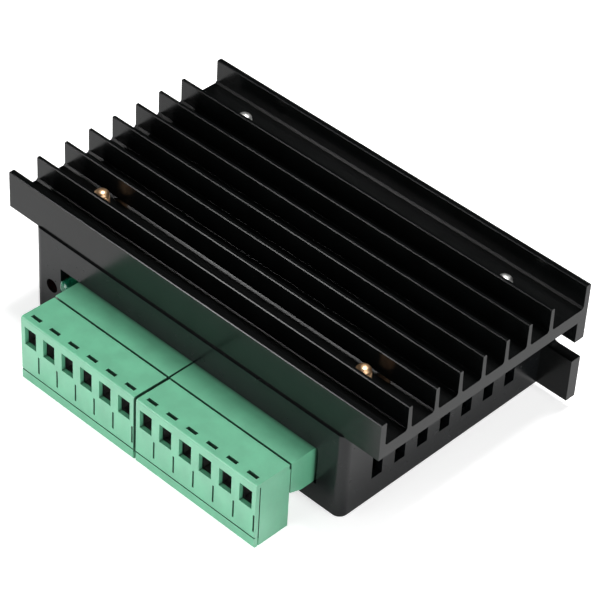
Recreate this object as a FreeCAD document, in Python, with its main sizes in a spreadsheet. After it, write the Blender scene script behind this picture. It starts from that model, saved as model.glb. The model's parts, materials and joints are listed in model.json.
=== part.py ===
import FreeCAD, Part
import os
import re

import Sketcher

# Stepper motor driver: a finned heatsink over a moulded cover, a circuit board between them and
# two six-pole pluggable terminals at the near side. All sizes are millimetres.
# X runs along the fins, Y from the terminals to the back wall, Z from the plugs' bottoms to the fin tops.
# The origin is at the middle of the whole outline in X and Y, at the height of the plugs' bottoms.

SIZES = [
    ("sink_over", 7.35, "heatsink past each end of the cover"),
    ("sink_depth", 56.2, "heatsink, from the near wall to the back wall"),
    ("base_thick", 2.8, "heatsink base"),
    ("fin_height", 5.3, "fins above the base"),
    ("near_wall_thick", 1.4, "heatsink near wall"),
    ("far_wall_thick", 1.3, "heatsink far wall above the base"),
    ("back_wall_thick", 2.5, "heatsink back wall below the base"),
    ("first_fin_at", 7.0, "near wall's outer face to the first fin"),
    ("second_fin_at", 14.0, "near wall's outer face to the second fin"),
    ("fin_spacing", 6.2, "second fin to the next"),
    ("row_fins", 6, "fins at an even pitch"),
    ("fin_top_thick", 0.85, "fin at its top"),
    ("fin_foot_thick", 1.05, "fin at its foot"),
    ("fin_foot_bevel", 0.4, "bevel at the foot of a fin"),
    ("edge_break", 0.15, "broken edge along a fin top or a wall top"),
    ("slot_width", 4.7, "mounting slot in the back wall"),
    ("slot_inset", 5.0, "heatsink end to the centre of the slot's round end"),
    ("slot_drop", 15.2, "fin tops to the slot's centre line"),
    ("stud_inset", 6.7, "cover's end to the studs"),
    ("near_stud_at", 10.75, "near wall's outer face to the near studs"),
    ("far_stud_at", 48.8, "near wall's outer face to the far studs"),
    ("stud_radius", 1.45, "threads of the studs and board screws"),
    ("thread_gap", 0.05, "thread to its tapped hole"),
    ("hole_gap", 0.15, "thread to a plain hole"),
    ("near_stud_rise", 3.1, "near studs above the heatsink base"),
    ("far_stud_rise", 2.3, "far screw tips above the heatsink base"),
    ("stud_chamfer", 0.35, "chamfer at a stud's tip"),
    ("cover_height", 19.2, "cover, from the label face to the heatsink"),
    ("cover_wall", 1.5, "cover walls and label face"),
    ("cover_proud", 0.4, "cover in front of the heatsink's near wall"),
    ("cover_corner", 1.8, "cover's two near corners"),
    ("vent_count", 7, "ventilation slots in each end wall"),
    ("vent_width", 2.75, "ventilation slot"),
    ("vent_spacing", 6.03, "one ventilation slot to the next"),
    ("vent_first_at", 7.4, "heatsink's near face to the first ventilation slot"),
    ("vent_height", 10.0, "ventilation slot"),
    ("vent_low", 4.9, "label face to the ventilation slots"),
    ("boss_width", 8.5, "square screw boss inside the cover"),
    ("bore_depth", 2.0, "sunk seat of a cover screw's head"),
    ("bore_radius", 3.1, "sunk seat of a cover screw's head"),
    ("board_thick", 1.6, "circuit board"),
    ("board_gap", 4.9, "circuit board to the heatsink"),
    ("board_play", 0.3, "circuit board to the cover's walls"),
    ("head_radius", 2.8, "screw head"),
    ("head_height", 1.8, "screw head"),
    ("recess_width", 0.8, "arm of the cross recess"),
    ("recess_length", 3.2, "cross recess, tip to tip"),
    ("recess_depth", 0.9, "cross recess"),
    ("hex_width", 5.5, "standoffs and spacers across their flats"),
    ("standoff_bore", 3.0, "blind hole in the brass standoff"),
    ("board_screw_grip", 2.6, "board screw inside the brass standoff"),
    ("poles", 6, "poles in one terminal"),
    ("pole_spacing", 5.08, "one pole to the next"),
    ("cover_left", 12.525, "cover's left end to the left header"),
    ("cover_right", 6.925, "right header to the cover's right end"),
    ("header_over", 0.22, "header longer than its plug"),
    ("header_gap", 0.45, "between the two headers"),
    ("header_depth", 12.0, "header, front to back"),
    ("header_height", 8.15, "header"),
    ("header_bevel", 1.0, "bevel under the header's front edge"),
    ("header_bevel_reach", 2.8, "the same, back from the front edge"),
    ("header_wall", 1.3, "header's long walls"),
    ("header_end_wall", 1.0, "header's short walls"),
    ("header_back_wall", 2.0, "header's back wall"),
    ("header_reach", 5.85, "header in front of the cover"),
    ("pin_size", 1.0, "header pin, across its flats"),
    ("pin_fit", 0.05, "pin to the hole it passes"),
    ("pin_start", 1.6, "header front to the pin tips"),
    ("pin_rear", 1.4, "header back to the pins' far faces"),
    ("pin_solder", 1.0, "pins above the board"),
    ("window_gap", 0.1, "header to the cover's window, above and below"),
    ("window_right_gap", 0.75, "header to the window's right edge"),
    ("window_left_gap", 5.15, "header to the window's left edge, where the indicator shows"),
    ("plug_height", 15.3, "plug at its front"),
    ("plug_fall", 0.2, "plug's top lower at the header than at its front"),
    ("plug_depth", 8.6, "plug in front of the header"),
    ("plug_slit", 0.4, "plug's back to the header's front along their tops"),
    ("plug_gap", 0.1, "the same below that slit"),
    ("header_rise", 0.1, "header top above the plug's top beside it"),
    ("front_thick", 0.9, "plug's front plate"),
    ("plug_round", 0.5, "rounding along the front plate's long edges"),
    ("tongue_length", 8.0, "plug inside the header"),
    ("tongue_fit", 0.15, "plug's tongue to the header's walls"),
    ("seam_width", 0.25, "seam between the plug's body and front plate"),
    ("seam_top", 1.0, "plug top to the seam"),
    ("wire_width", 3.1, "wire hole"),
    ("wire_height", 4.2, "wire hole"),
    ("wire_top", 2.0, "plug top to the wire hole"),
    ("key_length", 2.5, "slot in the plug's top over each pole"),
    ("key_width", 0.8, "slot in the plug's top over each pole"),
    ("key_at", 1.25, "plug front to the slot in its top"),
    ("key_depth", 1.1, "slot in the plug's top over each pole"),
    ("rib_width", 0.4, "upright groove beside each pole"),
    ("rib_height", 4.0, "upright groove beside each pole"),
    ("rib_top", 7.3, "plug top to the upright groove"),
    ("rib_depth", 0.5, "upright groove beside each pole"),
    ("rib_inset", 0.34, "pole's right edge to its upright groove"),
    ("line_width", 0.3, "groove along the foot of the plug's front"),
    ("line_low", 2.35, "plug bottom to that groove"),
    ("line_depth", 0.3, "groove along the foot of the plug's front"),
    ("clamp_web", 0.92, "plug between two clamp pockets"),
    ("clamp_depth", 5.5, "wire clamp, front to back"),
    ("clamp_fit", 0.08, "wire clamp to its pocket"),
    ("clamp_recess", 0.35, "plug's front plate to the wire clamp"),
    ("clamp_roof", 1.6, "plug's low top to the clamp"),
    ("clamp_height", 5.8, "wire clamp"),
    ("clamp_side", 0.5, "wire clamp's side and top walls"),
    ("clamp_floor", 1.4, "wire clamp's threaded wall"),
    ("clamp_screw_radius", 1.5, "clamp screw"),
    ("clamp_screw_sunk", 1.0, "plug bottom to the clamp screw"),
    ("clamp_screw_end", 0.6, "clamp screw inside the clamp's opening"),
    ("clamp_bore_gap", 0.15, "clamp screw to its bore"),
    ("clamp_screw_flats", 16, "flats that stand for the round of a clamp screw and its bore"),
    ("blade_slot", 0.6, "clamp screw's slot"),
    ("blade_slot_depth", 0.8, "clamp screw's slot"),
    ("contact_size", 2.6, "plug contact, across"),
    ("contact_fit", 0.06, "plug contact to its channel"),
    ("contact_bore", 1.2, "opening in the contact for the pin"),
    ("contact_bore_depth", 7.0, "opening in the contact for the pin"),
    ("contact_inset", 0.2, "tongue end to the contact"),
    ("indicator_radius", 1.5, "indicator lens"),
    ("dome_radius", 1.8, "power indicator's domed end"),
    ("indicator_length", 5.3, "indicator from its flange to the dome's tip"),
    ("flange_radius", 1.9, "indicator flange"),
    ("flange_thick", 1.0, "indicator flange"),
    ("power_left", 3.1, "left header's end to the power indicator"),
    ("power_drop", 3.1, "board to the power indicator"),
    ("power_proud", 1.4, "power indicator in front of the cover"),
    ("alarm_left", 4.6, "power indicator to the alarm indicator"),
    ("alarm_drop", 5.6, "board to the alarm indicator"),
    ("alarm_sunk", 0.3, "cover's inside to the alarm indicator's tip"),
    ("alarm_hole_radius", 1.5, "round hole in the cover"),
    ("lead_size", 0.5, "indicator lead"),
    ("lead_spread", 2.54, "between an indicator's leads"),
    ("switch_count", 6, "switches in the block"),
    ("switch_spacing", 2.54, "one switch to the next"),
    ("switch_end", 0.9, "switch block past its end switches"),
    ("switch_depth", 9.8, "switch block, front to back"),
    ("switch_height", 6.5, "switch block"),
    ("switch_base_thick", 1.5, "switch block's base"),
    ("switch_face_thick", 1.0, "switch block's face"),
    ("switch_at", 14.5, "cover's near face to the switch block's middle"),
    ("switch_window_gap", 0.3, "switch block to the cover's window along the fins"),
    ("switch_window_depth", 7.6, "cover's window over the switches, front to back"),
    ("knob_width", 1.1, "switch knob"),
    ("knob_length", 1.3, "switch knob, along its travel"),
    ("knob_rise", 0.9, "switch knob proud of the block's face"),
    ("knob_gap", 0.1, "moving switch piece to the block, all round"),
    ("knob_travel", 1.6, "switch knob's travel"),
    ("carriage_width", 1.6, "foot of a switch knob inside the block"),
    ("carriage_length", 2.6, "foot of a switch knob inside the block"),
    ("switch_lead_width", 0.6, "switch lead"),
    ("switch_lead_length", 1.3, "switch lead beside the block"),
    ("switch_lead_thick", 0.3, "switch lead"),
    ("chip_length", 16.0, "power driver chip"),
    ("chip_width", 11.0, "power driver chip"),
    ("chip_x", 6.0, "middle of the heatsink to the driver chip"),
    ("chip_at", 33.0, "near wall's outer face to the driver chip's middle"),
    ("pad_thick", 0.5, "soft pad between the chip and the heatsink"),
    ("chip_leads", 12, "driver chip leads along each side"),
    ("chip_lead_spacing", 1.27, "one driver chip lead to the next"),
    ("chip_lead_width", 0.4, "driver chip lead"),
    ("chip_lead_length", 0.9, "driver chip lead past the body"),
    ("chip_lead_rise", 1.5, "board to the top of a driver chip lead"),
    ("chip_lead_thick", 0.3, "driver chip lead"),
    ("can_radius", 4.0, "capacitor can"),
    ("can_height", 10.0, "capacitor can"),
    ("can_x", 24.0, "middle of the heatsink to the capacitor"),
    ("can_at", 39.0, "near wall's outer face to the capacitor"),
    ("sense_length", 6.4, "sense resistor"),
    ("sense_width", 3.2, "sense resistor"),
    ("sense_thick", 0.7, "sense resistor"),
    ("sense_x", 22.0, "middle of the heatsink to the sense resistors"),
    ("sense_at", 30.0, "near wall's outer face to the first sense resistor"),
    ("sense_spacing", 6.0, "one sense resistor to the next"),
    ("logic_size", 7.0, "controller chip, each way"),
    ("logic_thick", 1.4, "controller chip"),
    ("logic_x", -6.0, "middle of the heatsink to the controller chip"),
    ("logic_at", 31.0, "near wall's outer face to the controller chip"),
    ("opto_length", 6.5, "signal isolator, along the fins"),
    ("opto_width", 4.6, "signal isolator, front to back"),
    ("opto_thick", 3.0, "signal isolator"),
    ("opto_count", 3, "signal isolators"),
    ("opto_x", -27.0, "middle of the heatsink to the first isolator"),
    ("opto_spacing", 8.0, "one isolator to the next"),
    ("opto_at", 24.0, "near wall's outer face to the isolators"),
]

doc = FreeCAD.newDocument("StepperDriver")
sheet = doc.addObject("Spreadsheet::Sheet", "Sizes")
for line, (word, number, meaning) in enumerate(SIZES, start=1):
    sheet.set(f"A{line}", meaning)
    sheet.set(f"B{line}", str(number))
    sheet.setAlias(f"B{line}", word)
doc.recompute()

SIZE_WORDS = re.compile(r"\b(" + "|".join(word for word, number, meaning in SIZES) + r")\b")

# Levels up from the plugs' bottoms
PLUG_TOP = "plug_height"
PLUG_LOW_TOP = "(plug_height - plug_fall)"
HEADER_TOP = f"({PLUG_LOW_TOP} + header_rise)"
HEADER_LOW = f"({HEADER_TOP} - header_height)"
PIN_LEVEL = f"({HEADER_TOP} - header_height / 2)"
BOARD_LOW = HEADER_TOP
BOARD_TOP = f"({BOARD_LOW} + board_thick)"
SINK_LOW = f"({BOARD_TOP} + board_gap)"
BASE_TOP = f"({SINK_LOW} + base_thick)"
FIN_TOP = f"({BASE_TOP} + fin_height)"
COVER_LOW = f"({SINK_LOW} - cover_height)"
LABEL_TOP = f"({COVER_LOW} + cover_wall)"
CLAMP_TOP = f"({PLUG_LOW_TOP} - clamp_roof)"
CLAMP_LOW = f"({CLAMP_TOP} - clamp_height)"

# Planes from the plugs' fronts to the back wall
SINK_FRONT = "((cover_proud + header_reach + plug_depth - sink_depth) / 2)"
SINK_BACK = f"({SINK_FRONT} + sink_depth)"
WALL_FRONT = f"({SINK_BACK} - back_wall_thick)"
COVER_FRONT = f"({SINK_FRONT} - cover_proud)"
COVER_INSIDE = f"({COVER_FRONT} + cover_wall)"
HEADER_FRONT = f"({COVER_FRONT} - header_reach)"
HEADER_BACK = f"({HEADER_FRONT} + header_depth)"
PLUG_FRONT = f"({HEADER_FRONT} - plug_depth)"
PLATE_BACK = f"({PLUG_FRONT} + front_thick)"
PLUG_BACK = f"({HEADER_FRONT} - plug_gap)"
SLIT_FRONT = f"({HEADER_FRONT} - plug_slit)"
TONGUE_END = f"({HEADER_FRONT} + tongue_length)"
CLAMP_FRONT = f"({PLATE_BACK} + clamp_recess)"
CLAMP_BACK = f"({CLAMP_FRONT} + clamp_depth)"
CLAMP_MIDDLE = f"({CLAMP_FRONT} + clamp_depth / 2)"
NEAR_STUDS = f"({SINK_FRONT} + near_stud_at)"
FAR_STUDS = f"({SINK_FRONT} + far_stud_at)"
SWITCH_MIDDLE = f"({COVER_FRONT} + switch_at)"

# Lengths and places along the fins
PLUG_LENGTH = "(poles * pole_spacing)"
HEADER_LENGTH = f"({PLUG_LENGTH} + header_over)"
COVER_LENGTH = f"(2 * {HEADER_LENGTH} + header_gap + cover_left + cover_right)"
SINK_LENGTH = f"({COVER_LENGTH} + 2 * sink_over)"
STUD_X = f"({COVER_LENGTH} / 2 - stud_inset)"
HEADERS_LEFT = f"(cover_left - {COVER_LENGTH} / 2)"
HEADERS_RIGHT = f"({COVER_LENGTH} / 2 - cover_right)"
HEADERS_MIDDLE = "((cover_left - cover_right) / 2)"
POWER_X = f"({HEADERS_LEFT} - power_left)"
ALARM_X = f"({POWER_X} - alarm_left)"
FIRST_POLE = "(-(poles - 1) / 2 * pole_spacing)"
CLAMP_WIDTH = "(pole_spacing - clamp_web - 2 * clamp_fit)"

SMALL = "1"


def formula(text):
    """The text with the name of each size turned into its cell."""
    return SIZE_WORDS.sub(r"Sizes.\1", str(text))


def bind(item, prop, text):
    """Tie one property of an object to the sizes."""
    item.setExpression(prop, formula(text))


def count(word):
    """A whole number from the sheet."""
    return int(sheet.get(word))


def new_body(name):
    """An empty body for one piece."""
    body = doc.addObject("PartDesign::Body", name)
    body.Label = name
    return body


def origin_item(body, role):
    """One plane or axis of a body's own origin."""
    return next(item for item in body.Origin.OriginFeatures if item.Role == role)


def sketch_across(body, name, axis, place):
    """A sketch square to an axis, at a place along it.

    Across X it is drawn in Y and Z, across Y in X and Z, and across Z in X and Y.
    """
    plane, sign = {"X": ("YZ_Plane", ""), "Y": ("XZ_Plane", "-"), "Z": ("XY_Plane", "")}[axis]
    drawing = body.newObject("Sketcher::SketchObject", name)
    drawing.AttachmentSupport = (origin_item(body, plane), [""])
    drawing.MapMode = "FlatFace"
    bind(drawing, "AttachmentOffset.Base.z", f"{sign}({place})")
    return drawing


def draw_outline(drawing, points):
    """A closed outline of straight lines through points given as two formulas each."""
    total = len(points)
    first = len(drawing.Geometry)
    turn = FreeCAD.Rotation(FreeCAD.Vector(0, 0, 1), 360 / total)
    start = FreeCAD.Vector(1, 0, 0)
    for _ in points:
        end = turn.multVec(start)
        drawing.addGeometry(Part.LineSegment(start, end))
        start = end
    for corner in range(total):
        following = first + (corner + 1) % total
        drawing.addConstraint(Sketcher.Constraint("Coincident", first + corner, 2, following, 1))
    for corner, (across, up) in enumerate(points):
        for kind, place in (("DistanceX", across), ("DistanceY", up)):
            index = drawing.addConstraint(Sketcher.Constraint(kind, first + corner, 1, 1.0))
            bind(drawing, f"Constraints[{index}]", place)


def draw_rectangle(drawing, across, up):
    """A rectangle between two places each way."""
    left, right = across
    low, high = up
    draw_outline(drawing, [(left, low), (right, low), (right, high), (left, high)])


def draw_flats(drawing, across, up, radius, flats):
    """An outline with equal flats round a point, its first corner straight across."""
    corners = []
    for corner in range(flats):
        angle = f"{360 / flats * corner} deg"
        corners.append((f"{across} + ({radius}) * cos({angle})", f"{up} + ({radius}) * sin({angle})"))
    draw_outline(drawing, corners)


def draw_circle(drawing, across, up, radius):
    """A circle about a point given as two formulas."""
    ring = drawing.addGeometry(Part.Circle(FreeCAD.Vector(0, 0, 0), FreeCAD.Vector(0, 0, 1), 1))
    for kind, place in (("DistanceX", across), ("DistanceY", up)):
        index = drawing.addConstraint(Sketcher.Constraint(kind, ring, 3, 1.0))
        bind(drawing, f"Constraints[{index}]", place)
    index = drawing.addConstraint(Sketcher.Constraint("Radius", ring, 1.0))
    bind(drawing, f"Constraints[{index}]", radius)


def pad(body, name, drawing, length, both_ways=False):
    """Material along the sketch's normal, or as much each way."""
    feature = body.newObject("PartDesign::Pad", name)
    feature.Profile = drawing
    if both_ways:
        feature.SideType = "Symmetric"
    bind(feature, "Length", length)
    return feature


def pocket(body, name, drawing, length=None, upwards=False, both_ways=False):
    """A cut against the sketch's normal, along it, as much each way, or through everything."""
    feature = body.newObject("PartDesign::Pocket", name)
    feature.Profile = drawing
    feature.Reversed = upwards
    if both_ways:
        feature.SideType = "Symmetric"
    if length is None:
        feature.Type = "ThroughAll"
    else:
        bind(feature, "Length", length)
    return feature


def repeat(body, name, features, axis, pitch, number):
    """The features again at an even pitch along an axis."""
    pattern = body.newObject("PartDesign::LinearPattern", name)
    pattern.Originals = features
    pattern.Direction = (origin_item(body, f"{axis}_Axis"), [""])
    bind(pattern, "Length", f"({pitch}) * ({number} - 1)")
    bind(pattern, "Occurrences", number)
    body.Tip = pattern
    return pattern


def mirror_ends(body, name, features):
    """The features again at the other end of the part."""
    mirrored = body.newObject("PartDesign::Mirrored", name)
    mirrored.Originals = features
    mirrored.MirrorPlane = (origin_item(body, "YZ_Plane"), [""])
    body.Tip = mirrored
    return mirrored


def round_edges(body, name, base, radius, chosen):
    """Rounded edges, chosen by a test on each edge's middle point and direction."""
    doc.recompute()
    names = []
    for number, edge in enumerate(base.Shape.Edges, start=1):
        if edge.Curve.TypeId == "Part::GeomLine" and chosen(edge.CenterOfMass, edge.Curve.Direction):
            names.append(f"Edge{number}")
    feature = body.newObject("PartDesign::Fillet", name)
    feature.Base = (base, names)
    bind(feature, "Radius", radius)
    return feature


def block(name, across, along, up):
    """A box between two planes each way."""
    solid = doc.addObject("Part::Box", name)
    spans = (("Length", "x", across), ("Width", "y", along), ("Height", "z", up))
    for size, letter, (low, high) in spans:
        bind(solid, size, f"({high}) - ({low})")
        bind(solid, f"Placement.Base.{letter}", low)
    return solid


def stand(solid, axis, centre, low):
    """Turn a round solid to an axis and set its foot."""
    turns = {"X": FreeCAD.Rotation(FreeCAD.Vector(0, 1, 0), 90),
             "Y": FreeCAD.Rotation(FreeCAD.Vector(1, 0, 0), -90),
             "Z": FreeCAD.Rotation()}
    solid.Placement = FreeCAD.Placement(FreeCAD.Vector(0, 0, 0), turns[axis])
    places = dict(zip([letter for letter in "XYZ" if letter != axis], centre))
    places[axis] = low
    for letter, place in places.items():
        bind(solid, f"Placement.Base.{letter.lower()}", place)


def rod(name, axis, centre, span, radius):
    """A round bar along an axis, between two planes."""
    solid = doc.addObject("Part::Cylinder", name)
    low, high = span
    bind(solid, "Radius", radius)
    bind(solid, "Height", f"({high}) - ({low})")
    stand(solid, axis, centre, low)
    return solid


def taper(name, axis, centre, span, low_radius, high_radius):
    """A round bar whose radius changes evenly, between two planes."""
    solid = doc.addObject("Part::Cone", name)
    low, high = span
    bind(solid, "Radius1", low_radius)
    bind(solid, "Radius2", high_radius)
    bind(solid, "Height", f"({high}) - ({low})")
    stand(solid, axis, centre, low)
    return solid


def fuse(name, solids):
    """Several solids as one."""
    joined = doc.addObject("Part::MultiFuse", name)
    joined.Shapes = solids
    joined.Refine = True
    return joined


def cut(name, base, tools):
    """A solid less one or more others."""
    tool = tools[0] if len(tools) == 1 else fuse(f"{name}_tools", tools)
    result = doc.addObject("Part::Cut", name)
    result.Base = base
    result.Tool = tool
    return result


def group(name, solids):
    """Like solids kept apart in one sub-part."""
    together = doc.addObject("Part::Compound", name)
    together.Links = solids
    return together


def heatsink():
    """One black extrusion: base, two walls, fins and the back wall with its open mounting slots."""
    body = new_body("heatsink")
    profile = sketch_across(body, "sink_profile", "X", "0")
    near_inside = f"{SINK_FRONT} + near_wall_thick"
    far_inside = f"{SINK_BACK} - far_wall_thick"
    draw_outline(profile, [
        (SINK_FRONT, SINK_LOW),
        (WALL_FRONT, SINK_LOW),
        (WALL_FRONT, COVER_LOW),
        (SINK_BACK, COVER_LOW),
        (SINK_BACK, f"{FIN_TOP} - edge_break"),
        (f"{SINK_BACK} - edge_break", FIN_TOP),
        (f"{far_inside} + edge_break", FIN_TOP),
        (far_inside, f"{FIN_TOP} - edge_break"),
        (far_inside, f"{BASE_TOP} + fin_foot_bevel"),
        (f"{far_inside} - fin_foot_bevel", BASE_TOP),
        (f"{near_inside} + fin_foot_bevel", BASE_TOP),
        (near_inside, f"{BASE_TOP} + fin_foot_bevel"),
        (near_inside, f"{FIN_TOP} - edge_break"),
        (f"{near_inside} - edge_break", FIN_TOP),
        (f"{SINK_FRONT} + edge_break", FIN_TOP),
        (SINK_FRONT, f"{FIN_TOP} - edge_break"),
    ])
    pad(body, "sink_extrusion", profile, SINK_LENGTH, both_ways=True)

    def fin(name, place):
        outline = sketch_across(body, f"{name}_profile", "X", "0")
        near = f"({SINK_FRONT} + {place})"
        draw_outline(outline, [
            (f"{near} - fin_foot_bevel", f"{BASE_TOP} - base_thick / 2"),
            (f"{near} - fin_foot_bevel", BASE_TOP),
            (near, f"{BASE_TOP} + fin_foot_bevel"),
            (near, f"{FIN_TOP} - edge_break"),
            (f"{near} + edge_break", FIN_TOP),
            (f"{near} + fin_top_thick - edge_break", FIN_TOP),
            (f"{near} + fin_top_thick", f"{FIN_TOP} - edge_break"),
            (f"{near} + fin_foot_thick", f"{BASE_TOP} + fin_foot_bevel"),
            (f"{near} + fin_foot_thick + fin_foot_bevel", BASE_TOP),
            (f"{near} + fin_foot_thick + fin_foot_bevel", f"{BASE_TOP} - base_thick / 2"),
        ])
        return pad(body, name, outline, SINK_LENGTH, both_ways=True)

    fin("first_fin", "first_fin_at")
    second = fin("second_fin", "second_fin_at")
    repeat(body, "fin_row", [second], "Y", "fin_spacing", "row_fins")

    slot_level = f"({FIN_TOP} - slot_drop)"
    slot_start = f"({SINK_LENGTH} / 2 - slot_inset)"
    straight = sketch_across(body, "slot_straight", "Y", f"{WALL_FRONT} - {SMALL}")
    draw_rectangle(straight, (slot_start, f"{SINK_LENGTH} / 2 + {SMALL}"),
                   (f"{slot_level} - slot_width / 2", f"{slot_level} + slot_width / 2"))
    straight_cut = pocket(body, "slot_straight_cut", straight)
    rounded = sketch_across(body, "slot_round", "Y", f"{WALL_FRONT} - {SMALL}")
    draw_circle(rounded, slot_start, slot_level, "slot_width / 2")
    rounded_cut = pocket(body, "slot_round_cut", rounded)
    mirror_ends(body, "slots", [straight_cut, rounded_cut])

    holes = sketch_across(body, "stud_holes", "Z", BASE_TOP)
    for place in (NEAR_STUDS, FAR_STUDS):
        for side in ("-", ""):
            draw_circle(holes, f"{side}{STUD_X}", place, "stud_radius + thread_gap")
    pocket(body, "stud_holes_cut", holes, "base_thick + " + SMALL)
    return body


def cover():
    """The moulded shell: label face, near wall and two end walls, open to the heatsink."""
    body = new_body("cover")
    outside = sketch_across(body, "cover_outside", "Z", COVER_LOW)
    draw_rectangle(outside, (f"-{COVER_LENGTH} / 2", f"{COVER_LENGTH} / 2"), (COVER_FRONT, WALL_FRONT))
    shell = pad(body, "cover_block", outside, "cover_height")
    doc.recompute()
    front = shell.Shape.BoundBox.YMin

    def near_corner(middle, direction):
        return abs(direction.z) > 0.9 and abs(middle.y - front) < 0.01

    round_edges(body, "cover_corners", shell, "cover_corner", near_corner)
    inside = sketch_across(body, "cover_inside", "Z", LABEL_TOP)
    half_inside = f"({COVER_LENGTH} / 2 - cover_wall)"
    draw_rectangle(inside, (f"-{half_inside}", half_inside), (COVER_INSIDE, f"{WALL_FRONT} + {SMALL}"))
    pocket(body, "cover_hollow", inside, upwards=True)

    vent = sketch_across(body, "vent", "X", f"{COVER_LENGTH} / 2 + {SMALL}")
    vent_near = f"({SINK_FRONT} + vent_first_at)"
    vent_low = f"({COVER_LOW} + vent_low)"
    draw_rectangle(vent, (vent_near, f"{vent_near} + vent_width"), (vent_low, f"{vent_low} + vent_height"))
    vent_cut = pocket(body, "vent_cut", vent)
    repeat(body, "vents", [vent_cut], "Y", "vent_spacing", "vent_count")

    wall_start = f"{COVER_FRONT} - {SMALL}"
    wall_cut = f"cover_wall + 1.5 * {SMALL}"
    window = sketch_across(body, "terminal_window", "Y", wall_start)
    draw_rectangle(window,
                   (f"{HEADERS_LEFT} - window_left_gap", f"{HEADERS_RIGHT} + window_right_gap"),
                   (f"{HEADER_LOW} - window_gap", f"{HEADER_TOP} + window_gap"))
    pocket(body, "terminal_window_cut", window, wall_cut)
    lamp_hole = sketch_across(body, "alarm_hole", "Y", wall_start)
    draw_circle(lamp_hole, ALARM_X, f"{BOARD_LOW} - alarm_drop", "alarm_hole_radius")
    pocket(body, "alarm_hole_cut", lamp_hole, wall_cut)

    bosses = sketch_across(body, "bosses", "Z", f"{COVER_LOW} + cover_wall / 2")
    bores = sketch_across(body, "screw_seats", "Z", f"{COVER_LOW}")
    holes = sketch_across(body, "screw_holes", "Z", f"{COVER_LOW}")
    for side in ("-", ""):
        draw_rectangle(bosses, (f"{side}{STUD_X} - boss_width / 2", f"{side}{STUD_X} + boss_width / 2"),
                       (f"{FAR_STUDS} - boss_width / 2", f"{FAR_STUDS} + boss_width / 2"))
        draw_circle(bores, f"{side}{STUD_X}", FAR_STUDS, "bore_radius")
        draw_circle(holes, f"{side}{STUD_X}", FAR_STUDS, "stud_radius + hole_gap")
    pad(body, "bosses_pad", bosses, f"{BOARD_LOW} - {COVER_LOW} - cover_wall / 2")
    pocket(body, "screw_seats_cut", bores, "bore_depth", upwards=True)
    pocket(body, "screw_holes_cut", holes, upwards=True)

    opening = sketch_across(body, "switch_window", "Z", COVER_LOW)
    half_window = "(switch_count * switch_spacing / 2 + switch_end + switch_window_gap)"
    draw_rectangle(opening, (f"-{half_window}", half_window),
                   (f"{SWITCH_MIDDLE} - switch_window_depth / 2", f"{SWITCH_MIDDLE} + switch_window_depth / 2"))
    pocket(body, "switch_window_cut", opening, upwards=True)
    return body


def circuit_board():
    """The board with its four screw holes and the holes for the header pins."""
    body = new_body("circuit_board")
    outline = sketch_across(body, "board_outline", "Z", BOARD_LOW)
    half_board = f"({COVER_LENGTH} / 2 - cover_wall - board_play)"
    draw_rectangle(outline, (f"-{half_board}", half_board),
                   (f"{COVER_INSIDE} + board_play", f"{WALL_FRONT} - board_play"))
    pad(body, "board_plate", outline, "board_thick")
    holes = sketch_across(body, "board_holes", "Z", BOARD_TOP)
    for place in (NEAR_STUDS, FAR_STUDS):
        for side in ("-", ""):
            draw_circle(holes, f"{side}{STUD_X}", place, "stud_radius + hole_gap")
    pocket(body, "board_holes_cut", holes)
    for side, sign in (("left", "-"), ("right", "+")):
        pin = sketch_across(body, f"{side}_pin_hole", "Z", BOARD_TOP)
        centre = f"({terminal_middle(sign)} + {FIRST_POLE})"
        half_hole = "(pin_size / 2 + pin_fit)"
        pin_back = f"({HEADER_BACK} + pin_rear)"
        draw_rectangle(pin, (f"{centre} - {half_hole}", f"{centre} + {half_hole}"),
                       (f"{pin_back} - pin_size - pin_fit", f"{pin_back} + pin_fit"))
        pin_cut = pocket(body, f"{side}_pin_hole_cut", pin)
        repeat(body, f"{side}_pin_holes", [pin_cut], "X", "pole_spacing", "poles")
    return body


def terminal_middle(sign):
    """The middle of the left or the right terminal along the fins."""
    return f"({HEADERS_MIDDLE} {sign} ({HEADER_LENGTH} + header_gap) / 2)"


def pole(number):
    """A pole's place along its own terminal, counted from nought."""
    return f"({FIRST_POLE} + {number} * pole_spacing)"


def threaded_stud(name, centre, low, high):
    """A stud whose tip is chamfered."""
    shank = rod(f"{name}_shank", "Z", centre, (low, f"{high} - stud_chamfer"), "stud_radius")
    tip = taper(f"{name}_tip", "Z", centre, (f"{high} - stud_chamfer", high),
                "stud_radius", "stud_radius - stud_chamfer")
    return [shank, tip]


def screw_head(name, centre, low, high):
    """A pan head with a cross recess in its lower face."""
    disc = rod(f"{name}_disc", "Z", centre, (low, high), "head_radius")
    across, along = centre
    depth = (f"{low} - {SMALL}", f"{low} + recess_depth")
    long_arm = (f"{across} - recess_length / 2", f"{across} + recess_length / 2")
    short_arm = (f"{across} - recess_width / 2", f"{across} + recess_width / 2")
    first = block(f"{name}_arm", long_arm,
                  (f"{along} - recess_width / 2", f"{along} + recess_width / 2"), depth)
    second = block(f"{name}_cross_arm", short_arm,
                   (f"{along} - recess_length / 2", f"{along} + recess_length / 2"), depth)
    return cut(f"{name}_head", disc, [first, second])


def hexagon(name, centre, low, height):
    """A hexagonal bar standing on a level."""
    bar = doc.addObject("Part::Prism", name)
    bar.Polygon = 6
    bind(bar, "Circumradius", "hex_width / sqrt(3)")
    bind(bar, "Height", height)
    stand(bar, "Z", centre, low)
    return bar


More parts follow.
